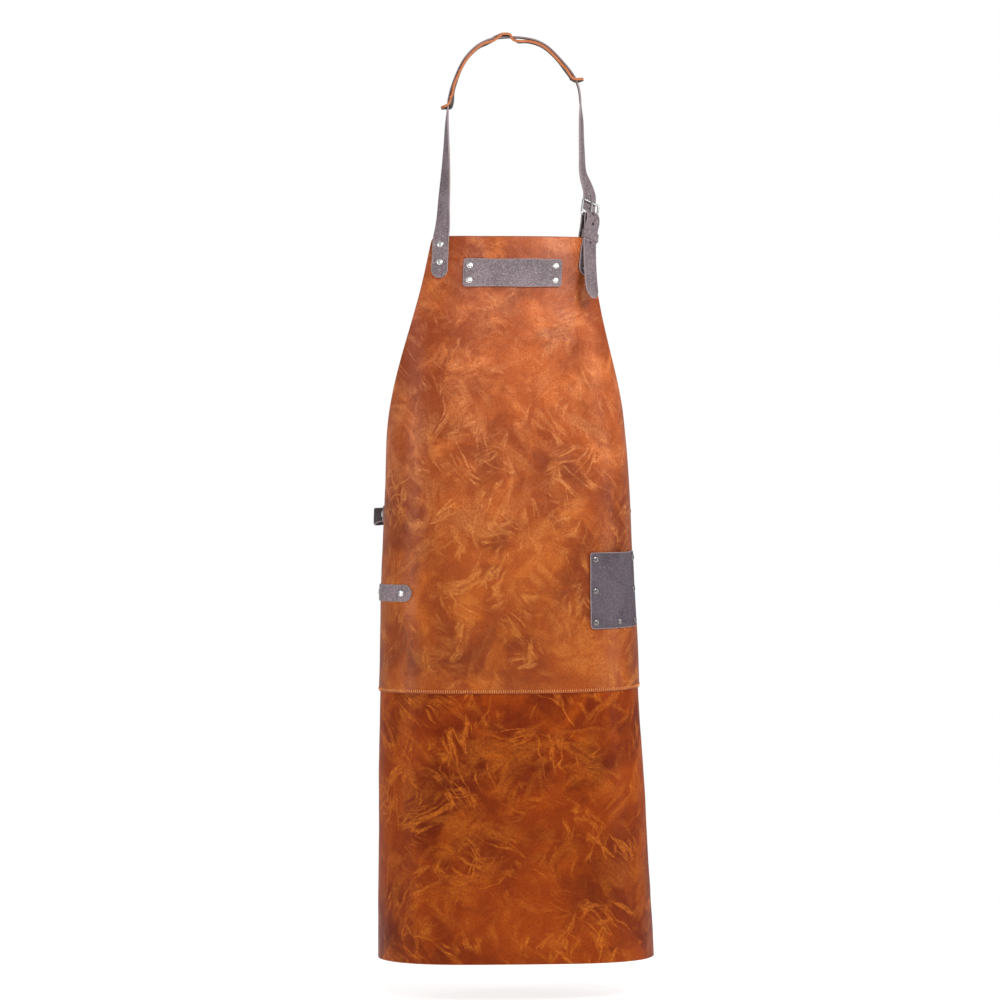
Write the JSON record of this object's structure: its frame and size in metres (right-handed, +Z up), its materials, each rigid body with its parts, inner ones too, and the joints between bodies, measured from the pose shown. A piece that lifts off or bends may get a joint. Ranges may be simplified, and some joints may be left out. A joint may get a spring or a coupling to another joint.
{
  "type": "welding apron",
  "caption": "Bib-style leather welding apron with a padded adjustable neck strap, a waist strap, a riveted hip pocket and a tool loop.",
  "frame": {"origin": "centre of the neck strap's leather at the top of its arch, where the strap rests on the wearer's neck", "axes": "+X to the right seen from the front (the wearer's left), +Y towards the wearer's back, +Z up, as it hangs when worn"},
  "size_m": [0.4199, 0.2868, 1.3869],
  "materials": {
    "upper_leather": "oiled pull-up hide, satin with a soft sheen",
    "lower_leather": "oiled pull-up hide, redder and a little duller",
    "trim_leather": "grey strap leather with pale cut edges",
    "pad_leather": "tan strap leather with bright cut edges",
    "thread": "pale orange heat-resistant thread",
    "rivet_metal": "nickel-plated, softly polished",
    "buckle_metal": "nickel-plated casting"
  },
  "bodies": {
    "apron": {"badge_patch": "trim_leather", "badge_rivet_caps": "rivet_metal", "badge_rivet_posts": "rivet_metal", "bib_panel": "upper_leather", "neck_buckle_rivet_caps": "rivet_metal", "neck_buckle_rivet_posts": "rivet_metal", "neck_buckle_strap": "trim_leather", "neck_pad": "pad_leather", "neck_strap": "trim_leather", "neck_strap_rivet_caps": "rivet_metal", "neck_strap_rivet_posts": "rivet_metal", "pocket": "trim_leather", "pocket_rivet_caps": "rivet_metal", "pocket_rivet_posts": "rivet_metal", "seam_thread": "thread", "skirt_panel": "lower_leather", "tool_loop": "trim_leather", "tool_loop_edge_rivet_caps": "rivet_metal", "tool_loop_edge_rivet_posts": "rivet_metal", "tool_loop_front_rivet_caps": "rivet_metal", "tool_loop_front_rivet_posts": "rivet_metal", "waist_fold_rivet_caps": "rivet_metal", "waist_fold_rivet_posts": "rivet_metal", "waist_left_rivet_caps": "rivet_metal", "waist_left_rivet_posts": "rivet_metal", "waist_right_rivet_caps": "rivet_metal", "waist_right_rivet_posts": "rivet_metal", "waist_strap_long": "trim_leather", "waist_strap_short": "trim_leather"},
    "neck_buckle": {"neck_buckle_frame": "buckle_metal"},
    "neck_prong": {"neck_buckle_prong": "buckle_metal"},
    "neck_keeper_band": {"neck_keeper": "trim_leather"},
    "waist_buckle": {"waist_buckle_frame": "buckle_metal"},
    "waist_prong": {"waist_buckle_prong": "buckle_metal"},
    "waist_keeper_band": {"waist_keeper": "trim_leather"}
  },
  "joints": [
    {"name": "neck_buckle_tilt", "type": "hinge", "parent": "apron", "child": "neck_buckle", "pos_m": [0.11805, 0.06264, -0.27226], "axis": [0.7812, 0.5338, -0.3237], "range_deg": [0, 6]},
    {"name": "neck_prong_lift", "type": "hinge", "parent": "neck_buckle", "child": "neck_prong", "pos_m": [0.11805, 0.06264, -0.27226], "axis": [0.7812, 0.5338, -0.3237], "range_deg": [0, 8]},
    {"name": "neck_keeper_slide", "type": "slide", "parent": "apron", "child": "neck_keeper_band", "axis": [-0.1429, -0.3518, -0.9251], "range_m": [-0.005, 0.005]},
    {"name": "waist_buckle_tilt", "type": "hinge", "parent": "apron", "child": "waist_buckle", "pos_m": [-0.06502, 0.26011, -0.715], "axis": [0, 0, 1], "range_deg": [0, 6]},
    {"name": "waist_prong_lift", "type": "hinge", "parent": "waist_buckle", "child": "waist_prong", "pos_m": [-0.06502, 0.26011, -0.715], "axis": [0, 0, 1], "range_deg": [0, 8]},
    {"name": "waist_keeper_slide", "type": "slide", "parent": "apron", "child": "waist_keeper_band", "axis": [-0.9858, -0.1677, 0], "range_m": [-0.005, 0.0025]}
  ]
}
